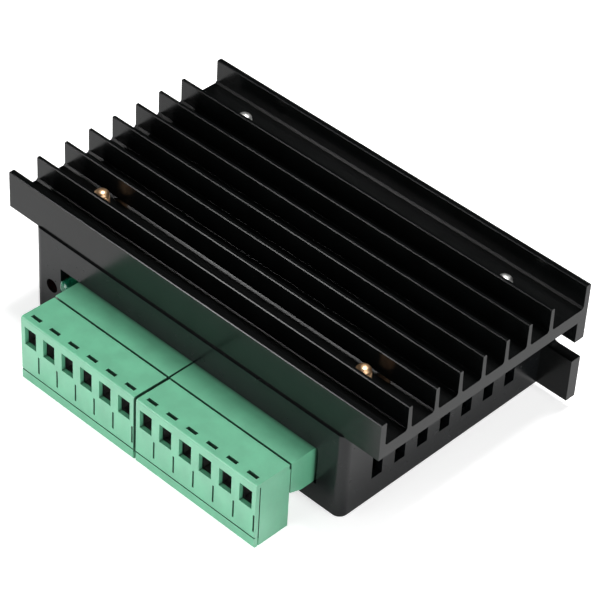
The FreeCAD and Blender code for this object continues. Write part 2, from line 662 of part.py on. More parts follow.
def brass_standoffs():
    """Hexagonal standoffs whose own studs pass through the heatsink base."""
    solids = []
    for side, sign in (("left", "-"), ("right", "")):
        name = f"standoff_{side}"
        centre = (f"{sign}{STUD_X}", NEAR_STUDS)
        bar = hexagon(f"{name}_bar", centre, BOARD_TOP, "board_gap")
        stud = threaded_stud(name, centre, SINK_LOW, f"{BASE_TOP} + near_stud_rise")
        outside = fuse(f"{name}_outside", [bar] + stud)
        bore = rod(f"{name}_bore", "Z", centre, (f"{BOARD_TOP} - {SMALL}", f"{BOARD_TOP} + standoff_bore"),
                   "stud_radius + thread_gap")
        solids.append(cut(name, outside, [bore]))
    return group("brass_standoffs", solids)


def board_screws():
    """Short screws up through the board into the brass standoffs."""
    solids = []
    for side, sign in (("left", "-"), ("right", "")):
        name = f"board_screw_{side}"
        centre = (f"{sign}{STUD_X}", NEAR_STUDS)
        head = screw_head(name, centre, f"{BOARD_LOW} - head_height", BOARD_LOW)
        shank = rod(f"{name}_shank", "Z", centre, (BOARD_LOW, f"{BOARD_TOP} + board_screw_grip"), "stud_radius")
        solids.append(fuse(name, [head, shank]))
    return group("board_screws", solids)


def cover_screws():
    """Long screws up through the cover, the board and the spacers into the heatsink."""
    solids = []
    for side, sign in (("left", "-"), ("right", "")):
        name = f"cover_screw_{side}"
        centre = (f"{sign}{STUD_X}", FAR_STUDS)
        seat = f"({COVER_LOW} + bore_depth)"
        head = screw_head(name, centre, f"{seat} - head_height", seat)
        shank = threaded_stud(name, centre, seat, f"{BASE_TOP} + far_stud_rise")
        solids.append(fuse(name, [head] + shank))
    return group("cover_screws", solids)


def board_spacers():
    """Hexagonal spacers between the board and the heatsink around the long screws."""
    solids = []
    for side, sign in (("left", "-"), ("right", "")):
        name = f"spacer_{side}"
        centre = (f"{sign}{STUD_X}", FAR_STUDS)
        outside = hexagon(f"{name}_bar", centre, BOARD_TOP, "board_gap")
        bore = rod(f"{name}_bore", "Z", centre, (f"{BOARD_TOP} - {SMALL}", f"{SINK_LOW} + {SMALL}"),
                   "stud_radius + hole_gap")
        solids.append(cut(name, outside, [bore]))
    return group("board_spacers", solids)


def header(side, sign):
    """A header's green housing: a box open to the front, with a hole for each pin."""
    body = new_body(f"header_{side}")
    name = f"header_{side}"
    profile = sketch_across(body, f"{name}_profile", "X", "0")
    draw_outline(profile, [
        (HEADER_FRONT, f"{HEADER_LOW} + header_bevel"),
        (f"{HEADER_FRONT} + header_bevel_reach", HEADER_LOW),
        (HEADER_BACK, HEADER_LOW),
        (HEADER_BACK, HEADER_TOP),
        (HEADER_FRONT, HEADER_TOP),
    ])
    pad(body, f"{name}_block", profile, HEADER_LENGTH, both_ways=True)
    hollow = sketch_across(body, f"{name}_hollow", "Y", f"{HEADER_FRONT} - {SMALL}")
    half_hollow = f"({HEADER_LENGTH} / 2 - header_end_wall)"
    draw_rectangle(hollow, (f"-{half_hollow}", half_hollow),
                   (f"{HEADER_LOW} + header_wall", f"{HEADER_TOP} - header_wall"))
    pocket(body, f"{name}_hollow_cut", hollow, f"header_depth - header_back_wall + {SMALL}")
    hole = sketch_across(body, f"{name}_pin_hole", "Y", HEADER_FRONT)
    half_pin = "(pin_size / 2 + pin_fit)"
    draw_rectangle(hole, (f"{FIRST_POLE} - {half_pin}", f"{FIRST_POLE} + {half_pin}"),
                   (f"{PIN_LEVEL} - {half_pin}", f"{PIN_LEVEL} + {half_pin}"))
    hole_cut = pocket(body, f"{name}_pin_hole_cut", hole)
    repeat(body, f"{name}_pin_holes", [hole_cut], "X", "pole_spacing", "poles")
    bind(body, "Placement.Base.x", terminal_middle(sign))
    return body


def header_pins(side, sign):
    """Square pins that leave the header's back and turn up through the board."""
    pins = []
    back = f"({HEADER_BACK} + pin_rear)"
    for number in range(count("poles")):
        name = f"header_{side}_pin_{number + 1}"
        across = (f"{pole(number)} - pin_size / 2", f"{pole(number)} + pin_size / 2")
        level = block(f"{name}_level", across, (f"{HEADER_FRONT} + pin_start", back),
                      (f"{PIN_LEVEL} - pin_size / 2", f"{PIN_LEVEL} + pin_size / 2"))
        upright = block(f"{name}_upright", across, (f"{back} - pin_size", back),
                        (f"{PIN_LEVEL} - pin_size / 2", f"{BOARD_TOP} + pin_solder"))
        pins.append(fuse(name, [level, upright]))
    together = group(f"header_{side}_pins", pins)
    bind(together, "Placement.Base.x", terminal_middle(sign))
    return together


def plug_top_at(depth):
    """The level of a plug's sloping top, at a depth behind its front."""
    return f"({PLUG_TOP} - plug_fall * ({depth}) / plug_depth)"


def plug_body(side, sign):
    """A plug's green body with its tongue, clamp pockets, screw bores and the slots in its top."""
    name = f"plug_{side}_body"
    body = new_body(name)
    profile = sketch_across(body, f"{name}_profile", "X", "0")
    draw_outline(profile, [
        (PLATE_BACK, "0"),
        (PLUG_BACK, "0"),
        (PLUG_BACK, f"{HEADER_TOP} - header_wall"),
        (SLIT_FRONT, f"{HEADER_TOP} - header_wall"),
        (SLIT_FRONT, plug_top_at("plug_depth - plug_slit")),
        (PLATE_BACK, plug_top_at("front_thick")),
    ])
    pad(body, f"{name}_block", profile, PLUG_LENGTH, both_ways=True)
    tongue = sketch_across(body, f"{name}_tongue", "X", "0")
    draw_rectangle(tongue, (f"{PLUG_BACK} - {SMALL}", TONGUE_END),
                   (f"{HEADER_LOW} + header_wall + tongue_fit", f"{HEADER_TOP} - header_wall - tongue_fit"))
    pad(body, f"{name}_tongue_pad", tongue, f"{HEADER_LENGTH} - 2 * header_end_wall - 2 * tongue_fit",
        both_ways=True)

    pocket_sketch = sketch_across(body, f"{name}_clamp", "Y", PLATE_BACK)
    half_clamp = f"({CLAMP_WIDTH} / 2 + clamp_fit)"
    draw_rectangle(pocket_sketch, (f"{FIRST_POLE} - {half_clamp}", f"{FIRST_POLE} + {half_clamp}"),
                   (f"{CLAMP_LOW} - clamp_fit", f"{CLAMP_TOP} + clamp_fit"))
    clamp_cut = pocket(body, f"{name}_clamp_cut", pocket_sketch, "clamp_recess + clamp_depth + clamp_fit")
    channel = sketch_across(body, f"{name}_channel", "Y", PLATE_BACK)
    half_contact = "(contact_size / 2 + contact_fit)"
    draw_rectangle(channel, (f"{FIRST_POLE} - {half_contact}", f"{FIRST_POLE} + {half_contact}"),
                   (f"{PIN_LEVEL} - {half_contact}", f"{PIN_LEVEL} + {half_contact}"))
    channel_cut = pocket(body, f"{name}_channel_cut", channel)
    bore = sketch_across(body, f"{name}_bore", "Z", "0")
    draw_flats(bore, FIRST_POLE, CLAMP_MIDDLE, "clamp_screw_radius + clamp_bore_gap", count("clamp_screw_flats"))
    bore_cut = pocket(body, f"{name}_bore_cut", bore, CLAMP_LOW, upwards=True)
    key = sketch_across(body, f"{name}_key", "Z", PLUG_TOP)
    draw_rectangle(key, (f"{FIRST_POLE} - key_length / 2", f"{FIRST_POLE} + key_length / 2"),
                   (f"{PLUG_FRONT} + key_at", f"{PLUG_FRONT} + key_at + key_width"))
    key_cut = pocket(body, f"{name}_key_cut", key, "key_depth + plug_fall * key_at / plug_depth")
    repeat(body, f"{name}_poles", [clamp_cut, channel_cut, bore_cut, key_cut], "X", "pole_spacing", "poles")

    seam = sketch_across(body, f"{name}_seam", "Z", f"-{SMALL}")
    seam_span = (f"{PLATE_BACK} - {SMALL}", f"{PLATE_BACK} + seam_width")
    inner_end = f"({PLUG_LENGTH} / 2 - seam_width)"
    outer_end = f"({PLUG_LENGTH} / 2 + {SMALL})"
    draw_rectangle(seam, (f"-{outer_end}", f"-{inner_end}"), seam_span)
    draw_rectangle(seam, (inner_end, outer_end), seam_span)
    pocket(body, f"{name}_seam_cut", seam, f"{PLUG_TOP} - seam_top + {SMALL}", upwards=True)
    bind(body, "Placement.Base.x", terminal_middle(sign))
    return body


def plug_front(side, sign):
    """A plug's front plate: wire holes, a groove beside each and one along the foot."""
    name = f"plug_{side}_front"
    body = new_body(name)
    profile = sketch_across(body, f"{name}_profile", "X", "0")
    draw_outline(profile, [
        (PLUG_FRONT, "0"),
        (PLATE_BACK, "0"),
        (PLATE_BACK, plug_top_at("front_thick")),
        (PLUG_FRONT, PLUG_TOP),
    ])
    plate = pad(body, f"{name}_plate", profile, PLUG_LENGTH, both_ways=True)
    doc.recompute()
    face = plate.Shape.BoundBox.YMin

    def front_edge(middle, direction):
        return abs(direction.x) > 0.9 and abs(middle.y - face) < 0.01

    round_edges(body, f"{name}_edges", plate, "plug_round", front_edge)

    wire = sketch_across(body, f"{name}_wire", "Y", f"{PLUG_FRONT} - {SMALL}")
    wire_top = f"({PLUG_TOP} - wire_top)"
    draw_rectangle(wire, (f"{FIRST_POLE} - wire_width / 2", f"{FIRST_POLE} + wire_width / 2"),
                   (f"{wire_top} - wire_height", wire_top))
    wire_cut = pocket(body, f"{name}_wire_cut", wire)
    repeat(body, f"{name}_wires", [wire_cut], "X", "pole_spacing", "poles")

    groove = sketch_across(body, f"{name}_groove", "Y", f"{PLUG_FRONT} - {SMALL}")
    groove_x = f"({FIRST_POLE} + pole_spacing / 2 - rib_inset)"
    groove_top = f"({PLUG_TOP} - rib_top)"
    draw_rectangle(groove, (f"{groove_x} - rib_width / 2", f"{groove_x} + rib_width / 2"),
                   (f"{groove_top} - rib_height", groove_top))
    groove_cut = pocket(body, f"{name}_groove_cut", groove, f"rib_depth + {SMALL}")
    repeat(body, f"{name}_grooves", [groove_cut], "X", "pole_spacing", "poles")

    foot = sketch_across(body, f"{name}_foot", "X", "0")
    draw_rectangle(foot, (f"{PLUG_FRONT} - {SMALL}", f"{PLUG_FRONT} + line_depth"),
                   ("line_low", "line_low + line_width"))
    pocket(body, f"{name}_foot_cut", foot, f"{PLUG_LENGTH} + {SMALL}", both_ways=True)
    bind(body, "Placement.Base.x", terminal_middle(sign))
    return body


def screw_bar(name, centre, span, radius):
    """A plain bar whose flats stand for a thread's round."""
    low, high = span
    bar = doc.addObject("Part::Prism", name)
    bar.Polygon = count("clamp_screw_flats")
    bind(bar, "Circumradius", radius)
    bind(bar, "Height", f"({high}) - ({low})")
    stand(bar, "Z", centre, low)
    return bar


def plug_clamps(side, sign):
    """Square wire clamps, each with a threaded lower wall."""
    clamps = []
    for number in range(count("poles")):
        name = f"plug_{side}_clamp_{number + 1}"
        left = f"({pole(number)} - {CLAMP_WIDTH} / 2)"
        right = f"({pole(number)} + {CLAMP_WIDTH} / 2)"
        outside = block(f"{name}_outside", (left, right), (CLAMP_FRONT, CLAMP_BACK), (CLAMP_LOW, CLAMP_TOP))
        opening = block(f"{name}_opening", (f"{left} + clamp_side", f"{right} - clamp_side"),
                        (f"{CLAMP_FRONT} - {SMALL}", f"{CLAMP_BACK} + {SMALL}"),
                        (f"{CLAMP_LOW} + clamp_floor", f"{CLAMP_TOP} - clamp_side"))
        thread = screw_bar(f"{name}_thread", (pole(number), CLAMP_MIDDLE),
                           (f"{CLAMP_LOW} - {SMALL}", f"{CLAMP_LOW} + clamp_floor + {SMALL} / 2"),
                           "clamp_screw_radius + thread_gap")
        clamps.append(cut(name, outside, [opening, thread]))
    together = group(f"plug_{side}_clamps", clamps)
    bind(together, "Placement.Base.x", terminal_middle(sign))
    return together


def plug_contacts(side, sign):
    """Socket contacts in the tongue that grip the header pins."""
    contacts = []
    for number in range(count("poles")):
        name = f"plug_{side}_contact_{number + 1}"
        middle = pole(number)
        back = f"({TONGUE_END} - contact_inset)"
        socket = block(f"{name}_socket", (f"{middle} - contact_size / 2", f"{middle} + contact_size / 2"),
                       (f"{CLAMP_BACK} + clamp_fit", back),
                       (f"{PIN_LEVEL} - contact_size / 2", f"{PIN_LEVEL} + contact_size / 2"))
        bore = block(f"{name}_bore", (f"{middle} - contact_bore / 2", f"{middle} + contact_bore / 2"),
                     (f"{back} - contact_bore_depth", f"{back} + {SMALL}"),
                     (f"{PIN_LEVEL} - contact_bore / 2", f"{PIN_LEVEL} + contact_bore / 2"))
        contacts.append(cut(name, socket, [bore]))
    together = group(f"plug_{side}_contacts", contacts)
    bind(together, "Placement.Base.x", terminal_middle(sign))
    return together


def plug_screws(side, sign):
    """Slotted clamp screws, turned from the label side."""
    screws = []
    for number in range(count("poles")):
        name = f"plug_{side}_screw_{number + 1}"
        middle = pole(number)
        bar = screw_bar(f"{name}_bar", (middle, CLAMP_MIDDLE),
                        ("clamp_screw_sunk", f"{CLAMP_LOW} + clamp_floor + clamp_screw_end"), "clamp_screw_radius")
        slot = block(f"{name}_slot", (f"{middle} - {SMALL} - clamp_screw_radius", f"{middle} + clamp_screw_radius"),
                     (f"{CLAMP_MIDDLE} - blade_slot / 2", f"{CLAMP_MIDDLE} + blade_slot / 2"),
                     (f"clamp_screw_sunk - {SMALL}", "clamp_screw_sunk + blade_slot_depth"))
        screws.append(cut(name, bar, [slot]))
    together = group(f"plug_{side}_screws", screws)
    bind(together, "Placement.Base.x", terminal_middle(sign))
    return together


def indicator(name, across, level, tip, domed):
    """A round indicator lens with a flange, pointing to the front, with a domed or a flat end."""
    flange_back = f"({tip} + indicator_length)"
    solids = [rod(f"{name}_flange", "Y", (across, level), (f"{flange_back} - flange_thick", flange_back),
                  "flange_radius")]
    lens_front = tip
    if domed:
        dome_middle = f"({tip} + dome_radius)"
        lens_front = f"({dome_middle} - sqrt(dome_radius ^ 2 - indicator_radius ^ 2))"
        dome = doc.addObject("Part::Sphere", f"{name}_dome")
        dome.Placement = FreeCAD.Placement(FreeCAD.Vector(0, 0, 0), FreeCAD.Rotation(FreeCAD.Vector(1, 0, 0), 90))
        bind(dome, "Radius", "dome_radius")
        bind(dome, "Angle1", "acos(indicator_radius / dome_radius)")
        for letter, place in (("x", across), ("y", dome_middle), ("z", level)):
            bind(dome, f"Placement.Base.{letter}", place)
        solids.append(dome)
    solids.append(rod(f"{name}_lens", "Y", (across, level), (lens_front, flange_back), "indicator_radius"))
    return fuse(name, solids)


def indicator_leads(places):
    """Pairs of leads that leave the indicators and turn up to the board."""
    leads = []
    for name, across, level, tip in places:
        back = f"({tip} + indicator_length)"
        for side in ("-", "+"):
            middle = f"({across} {side} lead_spread / 2)"
            span = (f"{middle} - lead_size / 2", f"{middle} + lead_size / 2")
            along = block(f"{name}_lead_{len(leads)}", span, (back, f"{back} + 1.5 * lead_size"),
                          (f"{level} - lead_size / 2", f"{level} + lead_size / 2"))
            upright = block(f"{name}_upright_{len(leads)}", span,
                            (f"{back} + lead_size / 2", f"{back} + 1.5 * lead_size"),
                            (f"{level} - lead_size / 2", BOARD_LOW))
            leads.append(fuse(f"{name}_wire_{len(leads)}", [along, upright]))
    return group("indicator_leads", leads)


def switch_place(number):
    """A switch's place along the block, counted from nought."""
    return f"({number} - (switch_count - 1) / 2) * switch_spacing"


def switch_body():
    """The switch block's housing: a travel slot and a hollow for each switch."""
    body = new_body("switch_body")
    face_level = f"({BOARD_LOW} - switch_height)"
    outline = sketch_across(body, "switch_outline", "Z", face_level)
    half_block = "(switch_count * switch_spacing / 2 + switch_end)"
    draw_rectangle(outline, (f"-{half_block}", half_block),
                   (f"{SWITCH_MIDDLE} - switch_depth / 2", f"{SWITCH_MIDDLE} + switch_depth / 2"))
    pad(body, "switch_block", outline, "switch_height - switch_base_thick")
    first = switch_place(0)
    hollow = sketch_across(body, "switch_hollow", "Z", f"{BOARD_LOW} - switch_base_thick")
    half_width = "(carriage_width / 2 + knob_gap)"
    half_length = "((carriage_length + knob_travel) / 2 + knob_gap)"
    draw_rectangle(hollow, (f"{first} - {half_width}", f"{first} + {half_width}"),
                   (f"{SWITCH_MIDDLE} - {half_length}", f"{SWITCH_MIDDLE} + {half_length}"))
    hollow_cut = pocket(body, "switch_hollow_cut", hollow,
                        "switch_height - switch_base_thick - switch_face_thick")
    slot = sketch_across(body, "switch_slot", "Z", face_level)
    half_knob = "(knob_width / 2 + knob_gap)"
    half_slot = "((knob_length + knob_travel) / 2 + knob_gap)"
    draw_rectangle(slot, (f"{first} - {half_knob}", f"{first} + {half_knob}"),
                   (f"{SWITCH_MIDDLE} - {half_slot}", f"{SWITCH_MIDDLE} + {half_slot}"))
    slot_cut = pocket(body, "switch_slot_cut", slot, f"switch_face_thick + {SMALL} / 2", upwards=True)
    repeat(body, "switch_slots", [hollow_cut, slot_cut], "X", "switch_spacing", "switch_count")
    return body


def switch_base():
    """The plate that closes the switch block against the board."""
    half_block = "(switch_count * switch_spacing / 2 + switch_end)"
    return block("switch_base", (f"-{half_block}", half_block),
                 (f"{SWITCH_MIDDLE} - switch_depth / 2", f"{SWITCH_MIDDLE} + switch_depth / 2"),
                 (f"{BOARD_LOW} - switch_base_thick", BOARD_LOW))


def switch_leads():
    """Flat leads on the board along both long sides of the switch block."""
    leads = []
    for number in range(count("switch_count")):
        middle = switch_place(number)
        across = (f"{middle} - switch_lead_width / 2", f"{middle} + switch_lead_width / 2")
        near = f"({SWITCH_MIDDLE} - switch_depth / 2)"
        far = f"({SWITCH_MIDDLE} + switch_depth / 2)"
        level = (f"{BOARD_LOW} - switch_lead_thick", BOARD_LOW)
        leads.append(block(f"switch_near_lead_{number + 1}", across, (f"{near} - switch_lead_length", near), level))
        leads.append(block(f"switch_far_lead_{number + 1}", across, (far, f"{far} + switch_lead_length"), level))
    return group("switch_leads", leads)


def switch_slider(number):
    """One white knob with its foot inside the block, at the near end of its travel."""
    name = f"switch_slider_{number + 1}"
    middle = switch_place(number)
    rest = f"({SWITCH_MIDDLE} - knob_travel / 2)"
    face = f"({BOARD_LOW} - switch_height)"
    inside = f"({face} + switch_face_thick + knob_gap)"
    knob = block(f"{name}_knob", (f"{middle} - knob_width / 2", f"{middle} + knob_width / 2"),
                 (f"{rest} - knob_length / 2", f"{rest} + knob_length / 2"), (f"{face} - knob_rise", inside))
    foot = block(f"{name}_foot", (f"{middle} - carriage_width / 2", f"{middle} + carriage_width / 2"),
                 (f"{rest} - carriage_length / 2", f"{rest} + carriage_length / 2"),
                 (inside, f"{BOARD_LOW} - switch_base_thick - knob_gap"))
    return fuse(name, [knob, foot])


def driver_chip():
    """The power chip on the board's heatsink side."""
    middle = f"({SINK_FRONT} + chip_at)"
    return block("driver_chip", ("chip_x - chip_length / 2", "chip_x + chip_length / 2"),
                 (f"{middle} - chip_width / 2", f"{middle} + chip_width / 2"),
                 (BOARD_TOP, f"{SINK_LOW} - pad_thick"))


def thermal_pad():
    """The soft pad that fills the gap between the chip and the heatsink."""
    middle = f"({SINK_FRONT} + chip_at)"
    return block("thermal_pad", ("chip_x - chip_length / 2", "chip_x + chip_length / 2"),
                 (f"{middle} - chip_width / 2", f"{middle} + chip_width / 2"),
                 (f"{SINK_LOW} - pad_thick", SINK_LOW))


def driver_leads():
    """Bent leads along both long sides of the power chip."""
    leads = []
    middle = f"({SINK_FRONT} + chip_at)"
    level = f"({BOARD_TOP} + chip_lead_rise)"
    for number in range(count("chip_leads")):
        place = f"(chip_x + ({number} - (chip_leads - 1) / 2) * chip_lead_spacing)"
        across = (f"{place} - chip_lead_width / 2", f"{place} + chip_lead_width / 2")
        for side, sign in (("near", "-"), ("far", "+")):
            root = f"({middle} {sign} chip_width / 2)"
            end = f"({root} {sign} chip_lead_length)"
            bend = f"({end} {'+' if sign == '-' else '-'} chip_lead_thick)"
            name = f"driver_lead_{side}_{number + 1}"
            order = 1 if sign == "+" else -1
            shoulder = block(f"{name}_shoulder", across, (root, end)[::order], (f"{level} - chip_lead_thick", level))
            drop = block(f"{name}_drop", across, (bend, end)[::order], (BOARD_TOP, level))
            leads.append(fuse(name, [shoulder, drop]))
    return group("driver_leads", leads)


def capacitor():
    """The power supply's capacitor can on the board's label side."""
    return rod("capacitor", "Z", ("can_x", f"({SINK_FRONT} + can_at)"), (f"{BOARD_LOW} - can_height", BOARD_LOW),
               "can_radius")


def sense_resistors():
    """Two flat resistors on the heatsink side, one for each motor winding."""
    flats = []
    for number in range(2):
        middle = f"({SINK_FRONT} + sense_at + {number} * sense_spacing)"
        flats.append(block(f"sense_resistor_{number + 1}", ("sense_x - sense_length / 2", "sense_x + sense_length / 2"),
                           (f"{middle} - sense_width / 2", f"{middle} + sense_width / 2"),
                           (BOARD_TOP, f"{BOARD_TOP} + sense_thick")))
    return group("sense_resistors", flats)


def controller_chip():
    """The small square controller on the label side."""
    middle = f"({SINK_FRONT} + logic_at)"
    return block("controller_chip", ("logic_x - logic_size / 2", "logic_x + logic_size / 2"),
                 (f"{middle} - logic_size / 2", f"{middle} + logic_size / 2"),
                 (f"{BOARD_LOW} - logic_thick", BOARD_LOW))


def signal_isolators():
    """Isolators behind the signal terminal, on the label side."""
    middle = f"({SINK_FRONT} + opto_at)"
    chips = []
    for number in range(count("opto_count")):
        place = f"(opto_x + {number} * opto_spacing)"
        chips.append(block(f"isolator_{number + 1}", (f"{place} - opto_length / 2", f"{place} + opto_length / 2"),
                           (f"{middle} - opto_width / 2", f"{middle} + opto_width / 2"),
                           (f"{BOARD_LOW} - opto_thick", BOARD_LOW)))
    return group("signal_isolators", chips)


POWER_PLACE = ("power_indicator", POWER_X, f"({BOARD_LOW} - power_drop)", f"({COVER_FRONT} - power_proud)")
ALARM_PLACE = ("alarm_indicator", ALARM_X, f"({BOARD_LOW} - alarm_drop)", f"({COVER_INSIDE} + alarm_sunk)")

pieces = [heatsink(), cover(), circuit_board()]
pieces += [brass_standoffs(), board_screws(), cover_screws(), board_spacers()]
for terminal_side, terminal_sign in (("left", "-"), ("right", "+")):
    for make in (header, header_pins, plug_body, plug_front, plug_clamps, plug_contacts, plug_screws):
        pieces.append(make(terminal_side, terminal_sign))
pieces += [indicator(*POWER_PLACE, domed=True), indicator(*ALARM_PLACE, domed=False)]
pieces.append(indicator_leads([POWER_PLACE, ALARM_PLACE]))
pieces += [switch_body(), switch_base(), switch_leads()]
pieces += [switch_slider(number) for number in range(count("switch_count"))]
pieces += [driver_chip(), thermal_pad(), driver_leads()]
pieces += [capacitor(), sense_resistors(), controller_chip(), signal_isolators()]

doc.recompute()
for item in doc.Objects:
    if "Invalid" in item.State or "Error" in item.State:
        raise RuntimeError(f"{item.Name} has failed: {item.State}")
    if item.TypeId == "PartDesign::Pocket" and not item.Shape.Volume < item.BaseFeature.Shape.Volume:
        raise RuntimeError(f"{item.Name} cuts nothing")
for piece in pieces:
    if piece.Shape.isNull() or not piece.Shape.isValid():
        raise RuntimeError(f"{piece.Label} has no valid shape")

os.makedirs("parts", exist_ok=True)
for piece in pieces:
    piece.Shape.exportStep(f"parts/{piece.Label}.step")
    print(piece.Label, len(piece.Shape.Solids), round(piece.Shape.Volume, 2))
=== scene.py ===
import json
import math

import bmesh
import bpy
from mathutils import Matrix, Vector


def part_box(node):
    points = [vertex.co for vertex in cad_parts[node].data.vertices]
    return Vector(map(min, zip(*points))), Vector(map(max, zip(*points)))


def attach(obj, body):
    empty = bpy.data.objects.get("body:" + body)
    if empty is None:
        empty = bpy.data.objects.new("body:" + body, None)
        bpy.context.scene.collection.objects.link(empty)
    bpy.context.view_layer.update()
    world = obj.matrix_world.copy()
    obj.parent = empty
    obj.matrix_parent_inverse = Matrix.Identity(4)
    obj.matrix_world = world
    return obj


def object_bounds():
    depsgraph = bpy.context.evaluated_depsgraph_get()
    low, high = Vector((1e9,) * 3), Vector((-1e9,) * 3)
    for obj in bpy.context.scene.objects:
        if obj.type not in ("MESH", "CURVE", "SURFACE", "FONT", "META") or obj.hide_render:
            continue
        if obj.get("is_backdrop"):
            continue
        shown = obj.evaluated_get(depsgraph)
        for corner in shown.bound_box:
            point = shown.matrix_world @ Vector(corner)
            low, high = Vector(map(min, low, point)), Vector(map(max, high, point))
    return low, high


# Stepper motor driver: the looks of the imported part. Lengths are metres, in the part's own frame.

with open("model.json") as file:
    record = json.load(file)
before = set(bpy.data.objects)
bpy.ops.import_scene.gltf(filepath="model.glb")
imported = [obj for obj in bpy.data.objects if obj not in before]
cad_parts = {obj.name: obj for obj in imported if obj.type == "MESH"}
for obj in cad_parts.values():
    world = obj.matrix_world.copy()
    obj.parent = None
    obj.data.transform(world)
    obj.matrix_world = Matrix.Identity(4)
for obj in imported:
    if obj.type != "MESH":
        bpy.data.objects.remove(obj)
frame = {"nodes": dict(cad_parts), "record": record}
cad_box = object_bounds()

MM = 0.001

# The photograph's viewpoint
CAMERA_PLACE = Vector((253.84, -272.19, 328.82)) * MM
CAMERA_AZIMUTH = math.radians(41.9685)
CAMERA_ELEVATION = math.radians(39.9745)
CAMERA_ROLL = math.radians(3.545)
CAMERA_LENS_MM = 156.04
SENSOR_MM = 36.0

# Painted shade: darker green where little light gets in; how near the other wall is, and what is left of
# the colour
CREVICE_REACH = 1.6 * MM
CREVICE_SHADE = 0.12
CREVICE_LOWEST = 1.8 * MM

# The studs' ends above the heatsink's base
FIN_HEIGHT = 5.3 * MM
THREAD_PITCH = 0.5 * MM
THREAD_RISE = 0.14 * MM
THREAD_SUNK = 0.04 * MM
STUD_RADIUS = 1.45 * MM
STUD_CHAMFER = 0.3 * MM
TIP_RADIUS = 1.42 * MM
TIP_RISE = 0.45 * MM
TIP_SUNK = 0.55 * MM

# The floor, and how much it glows to the camera and in reflections
FLOOR_DROP = 0.05 * MM
FLOOR_HALF = 3.0
FLOOR_LIFT = 0.65
FLOOR_GLOSS_LIFT = 0.1

# The world's own light, and what reflections see of it from the horizon up to the ceiling
WORLD_LIGHT = 0.013
HORIZON_TOP = 0.04
HORIZON_GLOW = 0.6
CEILING_START = 0.25
CEILING_GLOW = 0.006

# Values of the finishes
NOISE_LOW, NOISE_HIGH = 0.3, 0.7
RESIN_IOR = 1.54
RESIN_CLEARNESS = 0.8
TRACE_GRID = 2.4 * MM
RESISTOR_END = 0.9 * MM


# Node helpers

def new_material(name, colour, roughness, metallic=0.0, specular=0.5):
    """A material whose shader has one base colour, before any variation is added."""
    material = bpy.data.materials.new(name)
    material.use_nodes = True
    shader = material.node_tree.nodes["Principled BSDF"]
    shader.inputs["Base Color"].default_value = (*colour, 1.0)
    shader.inputs["Roughness"].default_value = roughness
    shader.inputs["Metallic"].default_value = metallic
    shader.inputs["Specular IOR Level"].default_value = specular
    return material


def shader_of(material):
    return material.node_tree.nodes["Principled BSDF"]


def add_node(material, kind, **values):
    """A new node with some of its own properties set."""
    node = material.node_tree.nodes.new(kind)
    for word, value in values.items():
        setattr(node, word, value)
    return node


def link(material, source, target):
    material.node_tree.links.new(source, target)


def noise(material, size, stretch=(1.0, 1.0, 1.0), detail=3.0):
    """Noise whose features are about size across in the part's frame, longer where stretch is larger."""
    place = add_node(material, "ShaderNodeTexCoord")
    mapping = add_node(material, "ShaderNodeMapping")
    mapping.inputs["Scale"].default_value = [1.0 / (size * factor) for factor in stretch]
    texture = add_node(material, "ShaderNodeTexNoise")
    texture.inputs["Scale"].default_value = 1.0
    texture.inputs["Detail"].default_value = detail
    link(material, place.outputs["Object"], mapping.inputs["Vector"])
    link(material, mapping.outputs["Vector"], texture.inputs["Vector"])
    return texture.outputs["Fac"]


def vary_colour(material, source, dark, light, low=0.35, high=0.65):
    """The base colour runs from dark to light with a source."""
    ramp = add_node(material, "ShaderNodeValToRGB")
    ramp.color_ramp.elements[0].position = low
    ramp.color_ramp.elements[0].color = (*dark, 1.0)
    ramp.color_ramp.elements[1].position = high
    ramp.color_ramp.elements[1].color = (*light, 1.0)
    link(material, source, ramp.inputs["Fac"])
    link(material, ramp.outputs["Color"], shader_of(material).inputs["Base Color"])


def vary_roughness(material, source, low, high):
    """The roughness runs from low to high with a source."""
    span = add_node(material, "ShaderNodeMapRange")
    span.inputs["From Min"].default_value = NOISE_LOW
    span.inputs["From Max"].default_value = NOISE_HIGH
    span.inputs["To Min"].default_value = low
    span.inputs["To Max"].default_value = high
    link(material, source, span.inputs["Value"])
    link(material, span.outputs["Result"], shader_of(material).inputs["Roughness"])


def add_bump(material, source, depth, strength=1.0):
    """Relief of a real depth, on top of any relief that the shader already has."""
    bump = add_node(material, "ShaderNodeBump")
    bump.inputs["Distance"].default_value = depth
    bump.inputs["Strength"].default_value = strength
    normal = shader_of(material).inputs["Normal"]
    if normal.is_linked:
        link(material, normal.links[0].from_socket, bump.inputs["Normal"])
    link(material, source, bump.inputs["Height"])
    link(material, bump.outputs["Normal"], normal)


